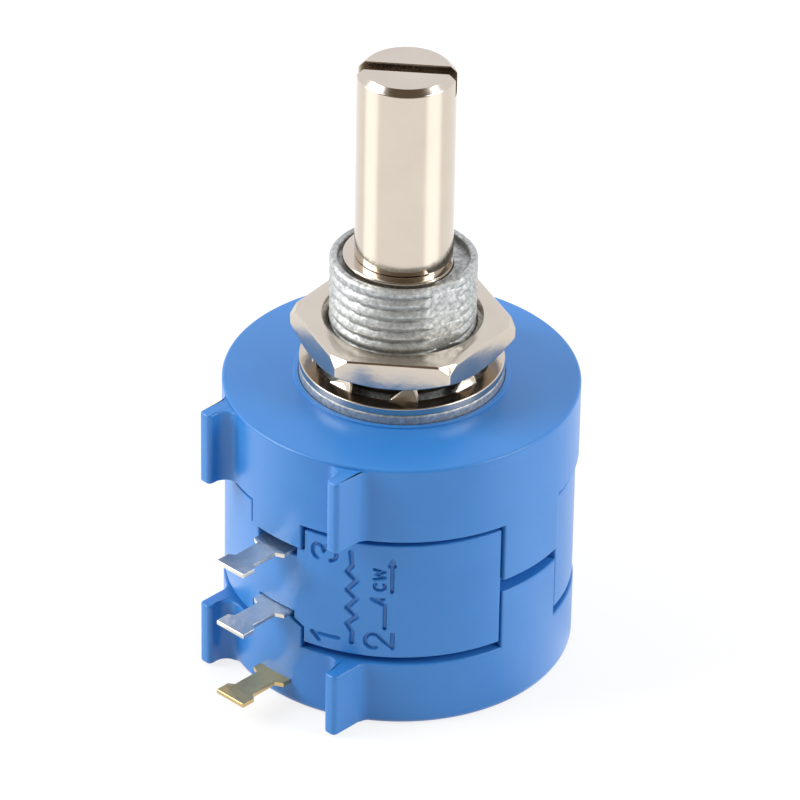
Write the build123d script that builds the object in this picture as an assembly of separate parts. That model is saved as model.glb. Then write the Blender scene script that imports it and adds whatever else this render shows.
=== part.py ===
from build123d import *
import math
import os

# Ten-turn wirewound potentiometer for panel mounting, in millimetres.
# Frame: the origin is where the shaft axis meets the panel seat (the top of the bushing's flange).
# +Z runs out along the shaft, and the three solder terminals point to -Y.
# Angles round the body are in degrees from the terminal side (-Y), positive towards +X.
# Depths are measured back from the housing's front face, and heights up from its rear face.

# Moulded housing
body_radius = 11.0
body_length = 18.8
rear_cover_step = 0.12
panel_step = 0.19
cover_wall = 1.1
front_wall = 1.6
rear_wall = 1.5
telescope_clearance = 0.05
housing_wall = 0.85
panel_root = 0.2
rim_fillet = 0.4
rear_fillet = 0.35
window_top = 5.35
window_bottom_height = 4.5
window_gap_top = 0.25
window_gap_bottom = 0.45
window_gap_side = 0.15
seat_collar_width = 0.3
seat_collar_height = 0.12
seat_collar_clearance = 0.05

# Pillars of the two covers, which meet between the windows
terminal_pillar_half_angle = 10.8
side_pillar_start = 79.0
side_pillar_end = 105.5
rear_pillar_half_angle = 11.25
front_side_pillar_depth = 9.3
rear_side_pillar_depth = 10.2
terminal_pillar_gap = 0.45
pillar_corner_run = 1.13
pillar_corner_drop = 0.65
pillar_seam = 0.12

# Legs that guard the terminals
leg_spacing = 10.8
leg_thickness = 0.95
leg_protrusion = 0.62
leg_root_fillet = 0.85
leg_tip_fillet = 0.32

# Solder terminals: place of each plate's upper side, and distances beyond the body
terminal_3_depth = 7.5
terminal_1_above_window_end = 2.4
terminal_2_above_rear = 1.8
terminal_thickness = 0.3
terminal_protrusion = 3.75
terminal_root_width = 2.6
terminal_neck_width = 1.55
terminal_head_width = 2.3
terminal_head_length = 0.95
terminal_neck_start = 0.65
terminal_shoulder = 0.25
terminal_slot_clearance = 0.1
terminal_wall_overlap = 0.6
terminal_1_recess_half_angle = 7.7
terminal_3_recess_half_angle = 8.7

# Bushing
thread_radius = 4.5
bushing_length = 7.6
bushing_chamfer = 0.15
parting_flat_depth = 0.115
parting_flat_angle = 78.8
bushing_rim_wall = 0.45
counterbore_depth = 0.77
flange_radius = 6.3
flange_height = 0.7
flange_fillet = 0.12
spigot_radius = 5.2
spigot_flat = 4.7
staked_radius = 6.0
staked_height = 0.5

# Lock washer and panel nut
washer_radius = 6.3
washer_ring_width = 1.0
washer_thickness = 0.5
tooth_count = 8
tooth_clearance = 0.25
tooth_root = 0.25
tooth_width = 1.75
tooth_twist = 42.0
tooth_lift = 0.07
nut_clearance = 0.04
nut_across_flats = 12.0
nut_corner_angle = 8.0
nut_thickness = 1.85
nut_top_land = 0.5
nut_top_chamfer_drop = 0.67
nut_bottom_chamfer_drop = 0.6
nut_countersink = 0.4
nut_thread_clearance = 0.05

# Shaft
shaft_radius = 3.0
shaft_length = 20.5
shaft_chamfer = 0.4
shaft_slot_width = 1.0
shaft_slot_depth = 1.5
shaft_slot_angle = 128.3
bearing_clearance = 0.04
core_radius = 2.5
journal_radius = 2.0
journal_length = 1.5
journal_clearance = 0.04
journal_end_gap = 0.1
rear_bearing_wall = 1.16

# Retaining ring
ring_groove_depth = 0.4
ring_side_gap = 0.35
ring_thickness = 0.5
ring_clearance = 0.03
ring_gap_start = 74.5
ring_gap_size = 75.0

# Resistance element and its end taps
turns = 10
wire_radius = 0.25
coil_wall_clearance = 0.05
coil_end_overrun = 15.0
tap_width = 1.6
tap_thickness = 0.25
tap_channel_depth = 0.4
tab_height = 0.6
tab_clearance = 0.02

# Drum, contact rod and slip ring
drum_to_coil = 1.65
drum_flange = 0.55
drum_clearance = 0.02
thrust_washer_radius = 5.0
thrust_washer_thickness = 0.15
thrust_clearance = 0.05
rod_radius = 0.5
rod_depth = 1.2
slip_ring_core_gap = 0.7
slip_ring_to_floor = 1.15
slip_ring_margin = 0.6
slip_ring_thickness = 0.4

# Wiper carriage and its contact
carriage_width = 3.0
carriage_height = 1.6
carriage_behind_rod = 1.25
carriage_clearance = 0.1
shoe_width = 3.4
shoe_clearance = 0.2
shoe_to_coil = 0.55
finger_thickness = 0.25
finger_overlap = 0.05
finger_inner_edge = 0.5
finger_outer_edge = 1.3
rod_clearance = 0.1
contact_thickness = 0.14
contact_width = 0.7
contact_eye_width = 0.5
contact_clearance = 0.07

# Collector brush
brush_width = 1.8
brush_thickness = 0.15
brush_wall_gap = 0.15
brush_foot_length = 1.2
brush_touch_margin = 0.7
brush_touch_length = 0.8

# Stops at both ends of the wiper's travel
stop_to_drum = 0.5
stop_wall_gap = 0.1
stop_start = 17.5
stop_end = 30.0

# How far a cutting shape runs past the solid that it cuts
cut_extra = 1.0

# Radii that follow from the values above
rear_cover_radius = body_radius - rear_cover_step
panel_radius = body_radius - panel_step
cover_bore = body_radius - cover_wall
housing_radius = cover_bore - telescope_clearance
housing_bore = housing_radius - housing_wall
coil_radius = housing_bore - coil_wall_clearance - wire_radius
coil_inner_radius = coil_radius - wire_radius
drum_radius = coil_inner_radius - drum_to_coil
rod_distance = drum_radius - rod_depth
slip_ring_outer = drum_radius - slip_ring_margin
slip_ring_inner = core_radius + slip_ring_core_gap
carriage_inner = rod_distance - carriage_behind_rod
shoe_inner = drum_radius + shoe_clearance
shoe_outer = coil_inner_radius - shoe_to_coil
finger_reach = coil_radius + finger_overlap
stop_inner = drum_radius + stop_to_drum
stop_outer = housing_bore - stop_wall_gap
leg_reach = body_radius + leg_protrusion
terminal_reach = body_radius + terminal_protrusion
washer_hole_radius = washer_radius - washer_ring_width
counterbore_radius = thread_radius - bushing_rim_wall
ring_outer_radius = counterbore_radius - ring_side_gap
ring_groove_radius = shaft_radius - ring_groove_depth
nut_bore = thread_radius + nut_thread_clearance

# Heights along Z that several pieces share
front_z = -flange_height
rear_z = front_z - body_length
ceiling_z = front_z - front_wall
floor_z = rear_z + rear_wall
window_top_z = front_z - window_top
window_bottom_z = rear_z + window_bottom_height
terminal_z = {
    "terminal_3": front_z - terminal_3_depth,
    "terminal_1": window_bottom_z + terminal_1_above_window_end,
    "terminal_2": rear_z + terminal_2_above_rear,
}
staked_z = ceiling_z - staked_height
drum_top = staked_z - thrust_washer_thickness - 2 * thrust_clearance
slip_ring_bottom = floor_z + slip_ring_to_floor
drum_bottom = slip_ring_bottom + slip_ring_thickness
bearing_top = slip_ring_bottom - thrust_clearance
slot_top = drum_top - drum_flange
slot_bottom = drum_bottom + drum_flange
coil_middle_z = (slot_top + slot_bottom) / 2
travel = slot_top - slot_bottom - carriage_height - 2 * carriage_clearance
coil_pitch = travel / turns
ring_z = bushing_length - counterbore_depth + ring_clearance
tooth_slope = math.radians(tooth_twist)
tooth_rise = tooth_width * math.sin(tooth_slope) + washer_thickness * math.cos(tooth_slope)
nut_seat = tooth_lift + tooth_rise + nut_clearance


def compass(angle):
    """Turn an angle from the terminal side into the usual angle from +X."""
    return 270 + angle


def cylinder(radius, low, high):
    """A round bar on the shaft axis between two heights."""
    return extrude(Pos(0, 0, low) * Circle(radius), amount=high - low, dir=(0, 0, 1))


def tube(inner, outer, low, high):
    """A round tube on the shaft axis between two heights."""
    return cylinder(outer, low, high) - cylinder(inner, low - cut_extra, high + cut_extra)


def sector(inner, outer, low, high, start, end):
    """A piece of a tube wall between two angles from the terminal side."""
    outside = CenterArc((0, 0), outer, compass(start), end - start)
    inside = CenterArc((0, 0), inner, compass(start), end - start)
    face = make_face([outside, Line(outside @ 1, inside @ 1), inside, Line(inside @ 0, outside @ 0)])
    return extrude(Pos(0, 0, low) * face, amount=high - low, dir=(0, 0, 1))


def block(x_size, y_low, y_high, z_low, z_high):
    """A box centred on X, between two values of Y and of Z."""
    centre = Pos(0, (y_low + y_high) / 2, (z_low + z_high) / 2)
    return centre * Box(x_size, y_high - y_low, z_high - z_low)


def leg_root_room(radius):
    """Largest fillet between the body and a leg's inner side that leaves the tip its own fillet."""
    inner_x = (leg_spacing - leg_thickness) / 2
    side_end = leg_reach - leg_tip_fillet
    room = (side_end**2 - radius**2 + inner_x**2) / (2 * (radius + inner_x))
    return room - cut_extra / 100


def leg_outline(radius):
    """The round body and its two legs seen from the front, with filleted roots and tips."""
    outline = Circle(radius)
    for side in (-1, 1):
        leg = Rectangle(leg_thickness, leg_reach, align=(Align.CENTER, Align.MAX))
        outline += Pos(side * leg_spacing / 2, 0) * leg
    near_legs = [v for v in outline.vertices() if v.Y < 0 and abs(v.X) < leg_spacing]
    roots = [v for v in near_legs if abs(math.hypot(v.X, v.Y) - radius) < 0.01]
    outline = fillet(roots, min(leg_root_fillet, leg_root_room(radius)))
    tips = [v for v in outline.vertices() if abs(v.Y + leg_reach) < 0.001]
    return fillet(tips, leg_tip_fillet)


def standing_pillar(inner, outer, high, half, run, drop):
    """The rear cover's pillar behind terminal 1: both upper corners slope, by run across and drop down."""
    side = rear_cover_radius * math.sin(math.radians(half))
    far = side + cut_extra
    slope = [
        (side - run, high + cut_extra),
        (side - run, high),
        (far, high - drop * (run + cut_extra) / run),
        (far, high + cut_extra),
    ]
    solid = sector(inner, outer, window_bottom_z, high, -half, half)
    for turn in (1, -1):
        corner = Polyline(*[(turn * x, z) for x, z in slope], close=True)
        solid -= extrude(Plane.XZ * make_face(corner), amount=outer + cut_extra)
    return solid


def make_front_cover():
    """Front shell: lid, skirt, upper legs and the pillars that hang between the windows."""
    lid = cylinder(body_radius, window_top_z, front_z)
    lid = fillet(lid.edges().group_by(Axis.Z)[-1], rim_fillet)
    legs_high = front_z - rim_fillet
    legs = Pos(0, 0, window_top_z) * leg_outline(body_radius)
    shell = lid + extrude(legs, amount=legs_high - window_top_z, dir=(0, 0, 1))
    shell -= cylinder(cover_bore, window_top_z - cut_extra, ceiling_z)
    side_low = front_z - front_side_pillar_depth
    for start, end in pillar_angles():
        shell += sector(cover_bore, body_radius, side_low, window_top_z, start, end)
    terminal_low = terminal_z["terminal_3"] + terminal_pillar_gap
    half = terminal_pillar_half_angle
    shell += sector(cover_bore, body_radius, terminal_low, window_top_z, -half, half)
    collar_inner = flange_radius + seat_collar_clearance
    collar_outer = collar_inner + seat_collar_width
    shell += tube(collar_inner, collar_outer, front_z, front_z + seat_collar_height)
    shell -= spigot_shape(ceiling_z - cut_extra, front_z + cut_extra)
    stop_low = coil_middle_z + travel / 2
    return shell + sector(stop_inner, stop_outer, stop_low, ceiling_z, -stop_end, -stop_start)


def pillar_angles():
    """Angles of the two side pillars and the rear pillar, shared by both covers."""
    sides = [(side_pillar_start, side_pillar_end), (-side_pillar_end, -side_pillar_start)]
    return sides + [(180 - rear_pillar_half_angle, 180 + rear_pillar_half_angle)]


def spigot_shape(low, high):
    """The bushing's spigot, with two flats that stop it turning in the lid."""
    flats = Pos(0, 0, (low + high) / 2) * Box(2 * spigot_radius, 2 * spigot_flat, high - low)
    return cylinder(spigot_radius, low, high) & flats


def make_rear_cover():
    """Rear shell: floor, skirt, lower legs, rear bearing and the pillars that stand between windows."""
    cup = cylinder(rear_cover_radius, rear_z, window_bottom_z)
    cup = fillet(cup.edges().group_by(Axis.Z)[0], rear_fillet)
    legs_low = rear_z + rear_fillet
    legs = Pos(0, 0, legs_low) * leg_outline(rear_cover_radius)
    cup += extrude(legs, amount=window_bottom_z - legs_low, dir=(0, 0, 1))
    cup -= cylinder(cover_bore, floor_z, window_bottom_z + cut_extra)
    side_high = front_z - rear_side_pillar_depth
    for start, end in pillar_angles():
        cup += sector(cover_bore, rear_cover_radius, window_bottom_z, side_high, start, end)
    terminal_high = terminal_z["terminal_1"] - terminal_thickness
    half = terminal_pillar_half_angle
    corner = pillar_corner_run, pillar_corner_drop
    cup += standing_pillar(cover_bore, rear_cover_radius, terminal_high, half, *corner)
    bearing_bore = journal_radius + journal_clearance
    bore_low = slip_ring_bottom - journal_length - journal_end_gap
    cup += cylinder(bearing_bore + rear_bearing_wall, floor_z, bearing_top)
    cup -= cylinder(bearing_bore, bore_low, bearing_top + cut_extra)
    cup -= terminal_slot("terminal_2")
    stop_high = coil_middle_z - travel / 2
    return cup + sector(stop_inner, stop_outer, floor_z, stop_high, stop_start, stop_end)


def terminal_slot(name):
    """Room for one terminal's root, cut radially through a wall."""
    width = terminal_root_width + 2 * terminal_slot_clearance
    top = terminal_z[name]
    low = top - terminal_thickness
    return block(width, -terminal_reach, -stop_inner, low, top + terminal_slot_clearance)


def make_coil_housing():
    """Middle tube that holds the element, with raised panels that fill the windows."""
    body = tube(housing_bore, housing_radius, floor_z, ceiling_z)
    panel_high = window_top_z - window_gap_top
    panel_low = window_bottom_z + window_gap_bottom
    gap = math.degrees(window_gap_side / panel_radius)
    root = housing_radius - panel_root
    first = (terminal_pillar_half_angle + gap, side_pillar_start - gap)
    second = (side_pillar_end + gap, 180 - rear_pillar_half_angle - gap)
    for start, end in (first, second):
        for low_angle, high_angle in ((start, end), (-end, -start)):
            body += sector(root, panel_radius, panel_low, panel_high, low_angle, high_angle)
    half = terminal_pillar_half_angle + 2 * gap
    body += sector(root, panel_radius, panel_low, panel_high, -half, half) - pillar_room(gap)
    outer = housing_radius + cut_extra / 100
    channel = housing_radius - tap_channel_depth
    tap_channel_width = tap_width + 2 * terminal_slot_clearance
    root_channel_width = terminal_root_width + 2 * terminal_slot_clearance
    for name in ("terminal_1", "terminal_3"):
        terminal_low = terminal_z[name] - terminal_thickness
        body -= block(tap_channel_width, -outer, -channel, *tap_span(name))
        body -= block(tap_channel_width, -outer, -stop_inner, *tab_span(name))
        body -= block(root_channel_width, -outer, -channel, terminal_low, terminal_z[name])
    return body - terminal_slot("terminal_2")


def pillar_room(gap):
    """What the panel between the terminals leaves free: both covers' pillars, and the plates."""
    half = terminal_pillar_half_angle + gap
    low, high = window_bottom_z - cut_extra, window_top_z + cut_extra
    inner, outer = cover_bore - telescope_clearance, panel_radius + cut_extra
    plate_1, plate_3 = terminal_1_recess_half_angle, terminal_3_recess_half_angle
    front_low = terminal_z["terminal_3"] + terminal_pillar_gap - pillar_seam
    room = sector(inner, outer, front_low, high, -half, half)
    plate_3_low = terminal_z["terminal_3"] - terminal_thickness
    room += sector(inner, outer, plate_3_low, high, -plate_3, plate_3)
    room += sector(inner, outer, low, terminal_z["terminal_1"], -plate_1, plate_1)
    rear_high = terminal_z["terminal_1"] - terminal_thickness + pillar_seam
    side_step = math.sin(math.radians(half)) - math.sin(math.radians(terminal_pillar_half_angle))
    side_step *= rear_cover_radius
    length = math.hypot(pillar_corner_run, pillar_corner_drop)
    run = pillar_corner_run + side_step - pillar_seam * (length - pillar_corner_run) / pillar_corner_drop
    drop = pillar_corner_drop + pillar_seam
    drop -= (pillar_seam * length - side_step * pillar_corner_drop) / pillar_corner_run
    room += standing_pillar(inner, outer, rear_high, half, run, drop)
    return room


def coil_end_z(name):
    """Height of the element's end that a terminal is joined to."""
    side = 1 if name == "terminal_3" else -1
    return coil_middle_z + side * travel / 2


def tap_span(name):
    """Lowest and highest point of the strip from a terminal to its end of the element."""
    end = coil_end_z(name)
    if name == "terminal_3":
        return terminal_z[name], end + tab_height / 2
    return end - tab_height / 2, terminal_z[name] - terminal_thickness


def tab_span(name):
    """Lowest and highest point of the tab that reaches through the wall to the element."""
    end = coil_end_z(name)
    return end - tab_height / 2, end + tab_height / 2


def make_terminal(name):
    """Flat solder lug: wide root in the wall, narrow neck, wider head."""
    inner = housing_radius - tap_channel_depth
    if name == "terminal_2":
        inner = housing_bore - terminal_wall_overlap
    neck_start = body_radius + terminal_neck_start
    head_start = terminal_reach - terminal_head_length
    half = [
        (terminal_root_width / 2, inner),
        (terminal_root_width / 2, neck_start - terminal_shoulder),
        (terminal_neck_width / 2, neck_start),
        (terminal_neck_width / 2, head_start - terminal_shoulder),
        (terminal_head_width / 2, head_start),
        (terminal_head_width / 2, terminal_reach),
    ]
    points = [(x, -y) for x, y in half] + [(-x, -y) for x, y in reversed(half)]
    face = make_face(Polyline(*points, close=True))
    low = terminal_z[name] - terminal_thickness
    return extrude(Pos(0, 0, low) * face, amount=terminal_thickness, dir=(0, 0, 1))


def make_end_tap(name):
    """Strip in the wall's channel, with a tab through the wall to the end of the element."""
    outer = housing_radius - (tap_channel_depth - tap_thickness)
    strip = block(tap_width, -outer, -outer + tap_thickness, *tap_span(name))
    touch = coil_radius + wire_radius + tab_clearance
    return strip + block(tap_width, -outer, -touch, *tab_span(name))


def make_resistance_coil():
    """Ten-turn element: a left-hand helix, so that clockwise turning moves the wiper to the front."""
    overrun = 2 * coil_end_overrun / 360
    height = (turns + overrun) * coil_pitch
    path = Helix(coil_pitch, height, coil_radius, center=(0, 0, 0), direction=(0, 0, 1), lefthand=True)
    section = Plane(origin=path @ 0, z_dir=path % 0) * RegularPolygon(wire_radius, 6)
    coil = sweep(section, path=path, is_frenet=True)
    start_angle = compass(coil_end_overrun)
    return Pos(0, 0, coil_middle_z - height / 2) * Rot(0, 0, start_angle) * coil


def make_bushing():
    """Die-cast bushing: thread stub, flange that seats the panel, spigot and staked end."""
    body = cylinder(thread_radius, 0, bushing_length)
    body = chamfer(body.edges().group_by(Axis.Z)[-1], bushing_chamfer)
    flat_distance = thread_radius - parting_flat_depth
    flat_size = Box(2 * cut_extra, 2 * thread_radius, bushing_length)
    flat = Pos(flat_distance + cut_extra, 0, flange_fillet + bushing_length / 2) * flat_size
    for turn in (0, 180):
        body -= Rot(0, 0, compass(parting_flat_angle) + turn) * flat
    flange = cylinder(flange_radius, front_z, 0)
    body += fillet(flange.edges().group_by(Axis.Z)[-1], flange_fillet)
    body += spigot_shape(ceiling_z, front_z) + cylinder(staked_radius, staked_z, ceiling_z)
    bore_high = bushing_length + cut_extra
    body -= cylinder(shaft_radius + bearing_clearance, staked_z - cut_extra, bore_high)
    return body - cylinder(counterbore_radius, bushing_length - counterbore_depth, bore_high)


def make_shaft():
    """Shaft with screwdriver slot, retaining ring groove, core for the drum and rear journal."""
    body = cylinder(shaft_radius, drum_top, shaft_length)
    body = chamfer(body.edges().group_by(Axis.Z)[-1], shaft_chamfer)
    slot = Box(4 * shaft_radius, shaft_slot_width, 2 * shaft_slot_depth)
    body -= Pos(0, 0, shaft_length) * Rot(0, 0, compass(shaft_slot_angle)) * slot
    groove_low = ring_z - ring_clearance
    groove_high = ring_z + ring_thickness + ring_clearance
    body -= tube(ring_groove_radius, shaft_radius + cut_extra, groove_low, groove_high)
    body += cylinder(core_radius, slip_ring_bottom, drum_top)
    return body + cylinder(journal_radius, slip_ring_bottom - journal_length, slip_ring_bottom)


def make_retaining_ring():
    """Open spring ring in the shaft's groove, which keeps the shaft in the bushing."""
    start = ring_gap_start + ring_gap_size
    inner = ring_groove_radius + ring_clearance
    return sector(inner, ring_outer_radius, ring_z, ring_z + ring_thickness, start, ring_gap_start + 360)


def make_thrust_washer():
    """Thin washer between the bushing's staked end and the drum."""
    low = drum_top + thrust_clearance
    inner = shaft_radius + bearing_clearance
    return tube(inner, thrust_washer_radius, low, low + thrust_washer_thickness)


def make_rotor_drum():
    """Moulded drum on the shaft's core, with a lengthwise channel for the wiper carriage."""
    body = cylinder(drum_radius, drum_bottom, drum_top)
    body -= cylinder(core_radius + drum_clearance, drum_bottom - cut_extra, drum_top + cut_extra)
    channel = carriage_width + 2 * carriage_clearance
    channel_floor = carriage_inner - carriage_clearance
    body -= block(channel, -drum_radius - cut_extra, -channel_floor, slot_bottom, slot_top)
    hole = cylinder(rod_radius + drum_clearance, drum_bottom - cut_extra, rod_top())
    hole = Pos(0, -rod_distance, 0) * hole
    return body - hole


def rod_top():
    """Upper end of the contact rod, inside the drum's front flange."""
    return slot_top + drum_flange / 2


def make_contact_rod():
    """Brass rod that guides the carriage and carries the wiper's current to the slip ring."""
    return Pos(0, -rod_distance, 0) * cylinder(rod_radius, drum_bottom, rod_top())


def make_slip_ring():
    """Brass disc under the drum, which the collector brush rubs on."""
    return tube(slip_ring_inner, slip_ring_outer, slip_ring_bottom, drum_bottom)


def make_wiper_carriage():
    """Slider on the rod, whose four fingers run between the turns of the element."""
    half = carriage_height / 2
    low, high = coil_middle_z - half, coil_middle_z + half
    top = high - contact_thickness
    body = block(carriage_width, -shoe_inner, -carriage_inner, low, top)
    body += block(shoe_width, -shoe_outer, -shoe_inner, low, top)
    finger_width = finger_outer_edge - finger_inner_edge
    for side in (-1, 1):
        for level in (-1, 1):
            middle_z = coil_middle_z + level * coil_pitch / 2
            x = side * (finger_inner_edge + finger_outer_edge) / 2
            finger_low = middle_z - finger_thickness / 2
            finger_high = middle_z + finger_thickness / 2
            finger = block(finger_width, -finger_reach, -shoe_outer, finger_low, finger_high)
            body += Pos(x, 0, 0) * finger
    hole = cylinder(rod_radius + rod_clearance, low - cut_extra, high + cut_extra)
    return body - Pos(0, -rod_distance, 0) * hole


def make_wiper_contact():
    """Spring strip from the rod over the carriage and down to the element's inner side."""
    high = coil_middle_z + carriage_height / 2
    low = high - contact_thickness
    tip = coil_inner_radius - contact_clearance
    strip = block(contact_width, -shoe_outer - contact_thickness, -rod_distance, low, high)
    eye_radius = rod_radius + contact_eye_width
    strip += Pos(0, -rod_distance, 0) * cylinder(eye_radius, low, high)
    finger_low = coil_middle_z - contact_thickness
    strip += block(contact_width, -shoe_outer - contact_thickness, -shoe_outer, finger_low, high)
    strip += block(contact_width, -tip, -shoe_outer, finger_low, coil_middle_z + contact_thickness)
    hole = cylinder(rod_radius + contact_clearance, low - cut_extra, high + cut_extra)
    return strip - Pos(0, -rod_distance, 0) * hole


def make_collector_brush():
    """Bent leaf from the wiper's terminal to the slip ring's rear face."""
    top = terminal_z["terminal_2"] + brush_thickness
    touch = slip_ring_bottom - contact_clearance
    outer = housing_bore - brush_wall_gap
    knee = outer - brush_foot_length
    bend = slip_ring_outer - brush_touch_margin
    end = bend - brush_touch_length
    points = [
        (-outer, top),
        (-knee, top),
        (-bend, touch),
        (-end, touch),
        (-end, touch - brush_thickness),
        (-bend - brush_thickness / 2, touch - brush_thickness),
        (-knee - brush_thickness / 2, top - brush_thickness),
        (-outer, top - brush_thickness),
    ]
    face = Plane.YZ * make_face(Polyline(*points, close=True))
    return extrude(face, amount=brush_width / 2, both=True)


def make_lock_washer():
    """Toothed washer: a flat ring with twisted teeth on the inside."""
    body = tube(washer_hole_radius, washer_radius, 0, washer_thickness)
    tooth_inner = thread_radius + tooth_clearance
    tooth_outer = washer_hole_radius + tooth_root
    tooth = Box(tooth_outer - tooth_inner, tooth_width, washer_thickness)
    tooth_middle = (tooth_inner + tooth_outer) / 2
    tooth = Pos(tooth_middle, 0, tooth_lift + tooth_rise / 2) * Rot(tooth_twist, 0, 0) * tooth
    for index in range(tooth_count):
        body += Rot(0, 0, 360 * index / tooth_count) * tooth
    return body


def make_panel_nut():
    """Thin hexagon nut, chamfered on both sides and countersunk for the thread."""
    flat_radius = nut_across_flats / 2
    turn = compass(nut_corner_angle)
    hexagon = Rot(0, 0, turn) * RegularPolygon(flat_radius, 6, major_radius=False)
    high = nut_seat + nut_thickness
    body = extrude(Pos(0, 0, nut_seat) * hexagon, amount=nut_thickness, dir=(0, 0, 1))
    corner = 2 * flat_radius / math.sqrt(3)
    profile = [
        (0, nut_seat),
        (flat_radius, nut_seat),
        (corner, nut_seat + nut_bottom_chamfer_drop),
        (corner, high - nut_top_chamfer_drop),
        (flat_radius + nut_top_land, high),
        (0, high),
    ]
    turned = revolve(Plane.XZ * make_face(Polyline(*profile, close=True)), Axis.Z)
    body = body & turned
    body -= cylinder(nut_bore, nut_seat - cut_extra, high + cut_extra)
    cone_low = high - nut_countersink
    cone = [(0, cone_low), (nut_bore, cone_low), (nut_bore + nut_countersink, high), (0, high)]
    return body - revolve(Plane.XZ * make_face(Polyline(*cone, close=True)), Axis.Z)


parts = {
    "front_cover": make_front_cover(),
    "rear_cover": make_rear_cover(),
    "coil_housing": make_coil_housing(),
    "resistance_coil": make_resistance_coil(),
    "terminal_1": make_terminal("terminal_1"),
    "terminal_2": make_terminal("terminal_2"),
    "terminal_3": make_terminal("terminal_3"),
    "end_tap_1": make_end_tap("terminal_1"),
    "end_tap_3": make_end_tap("terminal_3"),
    "collector_brush": make_collector_brush(),
    "bushing": make_bushing(),
    "shaft": make_shaft(),
    "retaining_ring": make_retaining_ring(),
    "thrust_washer": make_thrust_washer(),
    "rotor_drum": make_rotor_drum(),
    "contact_rod": make_contact_rod(),
    "slip_ring": make_slip_ring(),
    "wiper_carriage": make_wiper_carriage(),
    "wiper_contact": make_wiper_contact(),
    "lock_washer": make_lock_washer(),
    "panel_nut": make_panel_nut(),
}

os.makedirs("parts", exist_ok=True)
for name, part in parts.items():
    export_step(part, f"parts/{name}.step")
    print(name, round(part.volume, 2))
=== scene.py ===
import math

import bmesh
import bpy
import numpy as np
from mathutils import Matrix


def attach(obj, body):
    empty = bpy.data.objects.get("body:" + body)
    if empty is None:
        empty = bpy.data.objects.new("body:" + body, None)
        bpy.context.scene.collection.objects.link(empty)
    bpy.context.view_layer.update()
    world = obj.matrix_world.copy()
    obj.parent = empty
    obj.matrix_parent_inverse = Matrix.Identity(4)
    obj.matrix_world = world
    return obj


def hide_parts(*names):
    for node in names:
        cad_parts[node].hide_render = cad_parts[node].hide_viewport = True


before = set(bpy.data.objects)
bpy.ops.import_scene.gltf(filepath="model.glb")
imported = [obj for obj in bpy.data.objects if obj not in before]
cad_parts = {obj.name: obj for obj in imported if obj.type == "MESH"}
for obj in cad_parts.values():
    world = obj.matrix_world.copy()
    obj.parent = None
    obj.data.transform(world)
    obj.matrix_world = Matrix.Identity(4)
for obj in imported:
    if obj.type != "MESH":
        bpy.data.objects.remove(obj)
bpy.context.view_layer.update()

# Multi-turn wirewound potentiometer, seen from above its terminal side.
# Shapes are worked out in millimetres in the part's own frame: the origin is on the shaft axis in
# the panel seat, +Z runs out along the shaft, and the three solder terminals point to -Y.
# Angles called "bearing" are in degrees from the terminal side, positive towards +X.

# ---------------- sizes shared by the pieces
# Radii of the front cover, the rear cover, the raised panels and the covers' bore
BODY_R = 11.0
REAR_R = 10.88
PANEL_R = 10.81
SKIRT_BORE = 9.9
# Heights of the end faces, the ceiling and floor inside, and the windows' edges
FRONT_Z = -0.7
REAR_Z = -19.5
CEILING_Z = -2.3
FLOOR_Z = -18.0
WINDOW_TOP = -6.05
WINDOW_LOW = -15.0
# Heights of the lugs' upper faces, and the lugs' thickness
TERMINAL_3_Z = -8.2
TERMINAL_1_Z = -12.6
TERMINAL_2_Z = -17.7
PLATE = 0.3
# Roundings of most edges, the rear edge and the lid's, and the fall of the lid's cone
EDGE = 0.1
REAR_EDGE = 0.6
LID_EDGE = 0.2
LID_FALL = 0.2
# Bearing from which the photograph was taken
VIEW_BEARING = 43.5

# Grid steps of the housing: degrees round it and millimetres along it
COLUMN_STEP = 1.5
ROW_STEP = 0.45
# The open side of a gap, further away than anything
FAR = 999.0
# Distances from an edge at which its rounding is drawn, with one line outside it
NEAR_EDGE = np.array([0.0, 0.008, 0.03, 0.06, 0.1, 0.15])


# ---------------- grids and profiles
def sheet(points, wrap_columns=False, keep=None):
    """Quads between neighbouring points of a (rows, columns, 3) grid. Wrapped columns join the last
    to the first, and keep marks the cells that are there."""
    rows, columns = points.shape[:2]
    row, column = np.meshgrid(
        np.arange(rows - 1),
        np.arange(columns if wrap_columns else columns - 1),
        indexing="ij",
    )
    if keep is not None:
        row, column = row[keep], column[keep]
    row, column = row.ravel(), column.ravel()
    beside = (column + 1) % columns
    corners = (row, column), (row + 1, column), (row + 1, beside), (row, beside)
    faces = np.stack([r * columns + c for r, c in corners], axis=-1)
    return points.reshape(-1, 3), faces


def fan(loop):
    """Closes a loop of points with narrow faces that run in to its mean point."""
    middle = np.broadcast_to(loop.mean(axis=0), loop.shape)
    return sheet(np.stack([loop, middle]), wrap_columns=True)


def soften(corners, radius, steps=4, closed=False):
    """Rounds each corner of a polyline (..., corners, 2) with a quadratic curve. It starts and ends
    radius away from the corner, or 0.36 of the side where that is less, with one more point on each
    side a third of that further out, which keeps the flat stretches flat."""
    corners = np.asarray(corners, dtype=float)
    before = np.roll(corners, 1, axis=-2) - corners
    after = np.roll(corners, -1, axis=-2) - corners
    if not closed:
        before[..., 0, :] = 0
        after[..., -1, :] = 0
    radius = np.broadcast_to(radius, corners.shape[:-1])[..., None]
    ends = []
    for side in (before, after):
        length = np.linalg.norm(side, axis=-1, keepdims=True)
        reach = side * np.minimum(radius, 0.36 * length) / np.maximum(length, 1e-9)
        ends.append(reach[..., None, :])
    start, end = ends
    t = np.linspace(0, 1, steps + 1)[:, None]
    curve = (1 - t) ** 2 * start + t**2 * end
    curve = np.concatenate([1.33 * start, curve, 1.33 * end], axis=-2) + corners[..., None, :]
    return curve.reshape(corners.shape[:-2] + (-1, 2))


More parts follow.
